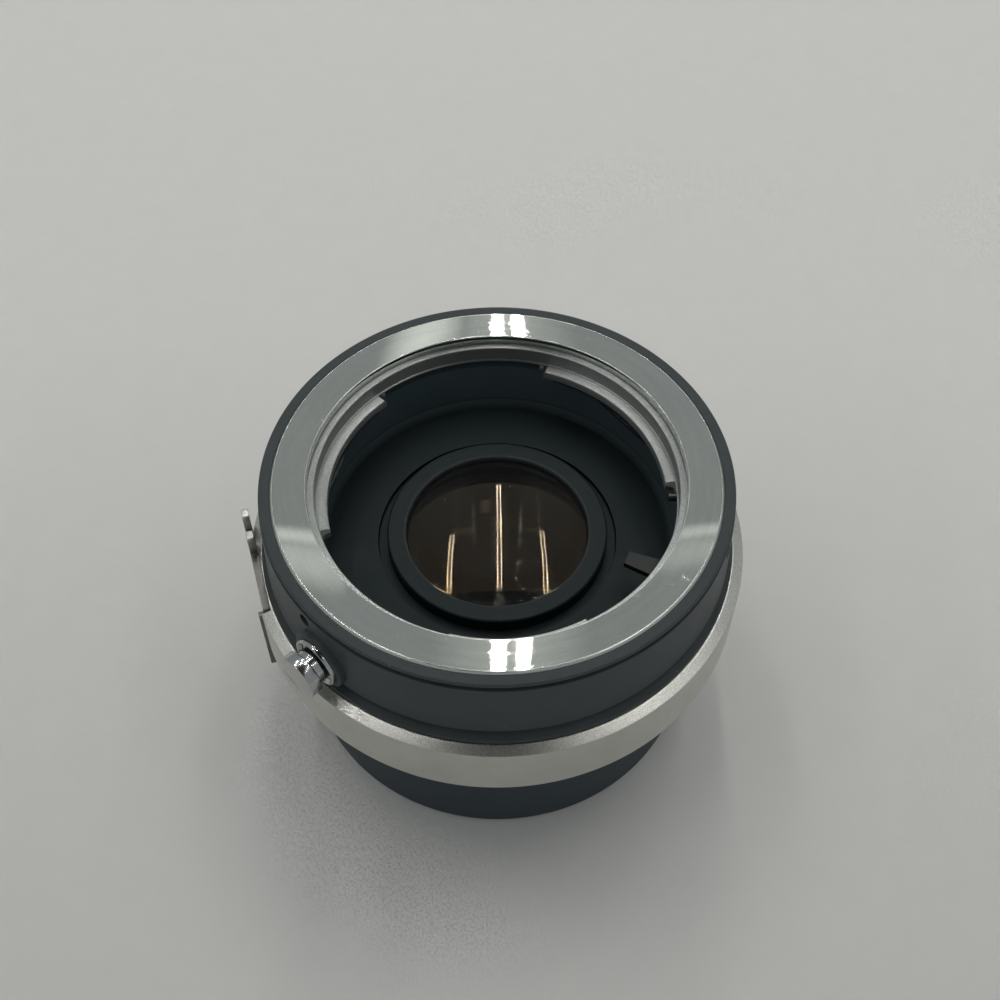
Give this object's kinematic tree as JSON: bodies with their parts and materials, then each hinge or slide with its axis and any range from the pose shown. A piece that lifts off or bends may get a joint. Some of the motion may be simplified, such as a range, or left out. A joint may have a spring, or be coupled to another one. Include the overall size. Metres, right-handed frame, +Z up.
{
  "type": "camera teleconverter",
  "caption": "Short round teleconverter with a bayonet throat in front, a turning silver coupling ring with a fork arm, a side release button, a lens group and a rear cap.",
  "frame": {"origin": "centre of the rear cap's underside, on the optical axis", "axes": "+Z up along the optical axis towards the lens that goes on in front; -Y towards the picture's viewer, so the release button is on the left and to the front"},
  "size_m": [0.0686, 0.0672, 0.0441],
  "materials": {
    "cap_plastic": "smooth black moulded plastic with a soft gloss",
    "black_enamel": "black semi-matt enamel on turned light alloy",
    "bright_mount": "bright plated brass with fine turning marks",
    "black_screw": "blackened steel",
    "spring_steel": "bare spring steel",
    "screw_steel": "bare turned steel",
    "baffle_black": "matt black against stray light",
    "relay_metal": "chemically darkened brass",
    "cell_black": "satin black anodised light alloy",
    "finger_black": "blackened sheet steel",
    "coated_glass": "optical glass with a warm single coating",
    "button_chrome": "polished chrome plate",
    "satin_silver": "fine blasted satin silver",
    "arm_steel": "plated sheet steel"
  },
  "bodies": {
    "body": {"front_barrel": "black_enamel", "front_bayonet_ring": "bright_mount", "barrel_grub_screws": "black_screw", "bayonet_leaf_springs": "spring_steel", "leaf_spring_screws": "screw_steel", "lens_stop_pin": "screw_steel", "light_baffle": "baffle_black", "relay_keeper_ring": "relay_metal", "keeper_screws": "screw_steel", "rear_barrel": "black_enamel", "rear_bayonet": "bright_mount", "rear_bayonet_screws": "screw_steel", "lens_tube": "cell_black", "lens_tube_screws": "screw_steel", "front_retaining_ring": "cell_black", "front_element": "coated_glass", "front_group_rear_element": "coated_glass", "front_spacer": "cell_black", "middle_element": "coated_glass", "rear_spacer": "cell_black", "rear_element": "coated_glass", "ring_stop_pin": "screw_steel", "button_collar": "button_chrome", "lock_pivot_pin": "screw_steel", "button_spring": "spring_steel"},
    "button": {"release_button": "button_chrome"},
    "lock": {"lock_lever": "screw_steel"},
    "relay": {"relay_sleeve": "relay_metal", "front_finger": "finger_black", "rear_finger": "finger_black", "finger_rivets": "screw_steel"},
    "coupling": {"coupling_ring": "satin_silver", "fork_arm": "arm_steel", "arm_screws": "screw_steel"},
    "cap": {"rear_cap": "cap_plastic"}
  },
  "joints": [
    {"name": "ring_turn", "type": "hinge", "parent": "body", "child": "coupling", "pos_m": [0, 0, 0.02665], "axis": [0, 0, 1], "range_deg": [-40, 15]},
    {"name": "button_push", "type": "slide", "parent": "body", "child": "button", "axis": [0.7009, 0.7133, 0], "range_m": [0, 0.0009], "stiffness_N_per_m": 600, "springref_m": -0.001, "deforming": ["button_spring"]},
    {"name": "lock_turn", "type": "hinge", "parent": "body", "child": "lock", "pos_m": [-0.02184, -0.01586, 0.0358], "axis": [0, 0, 1], "range_deg": [0, 11.7]},
    {"name": "relay_turn", "type": "hinge", "parent": "body", "child": "relay", "pos_m": [0, 0, 0.027], "axis": [0, 0, 1], "range_deg": [0, 18]},
    {"name": "cap_pull", "type": "slide", "parent": "body", "child": "cap", "axis": [0, 0, -1], "range_m": [0, 0.012]}
  ],
  "couplings": [
    {"joint": "lock_turn", "follows": "button_push", "rad_per_m": 225.2}
  ]
}
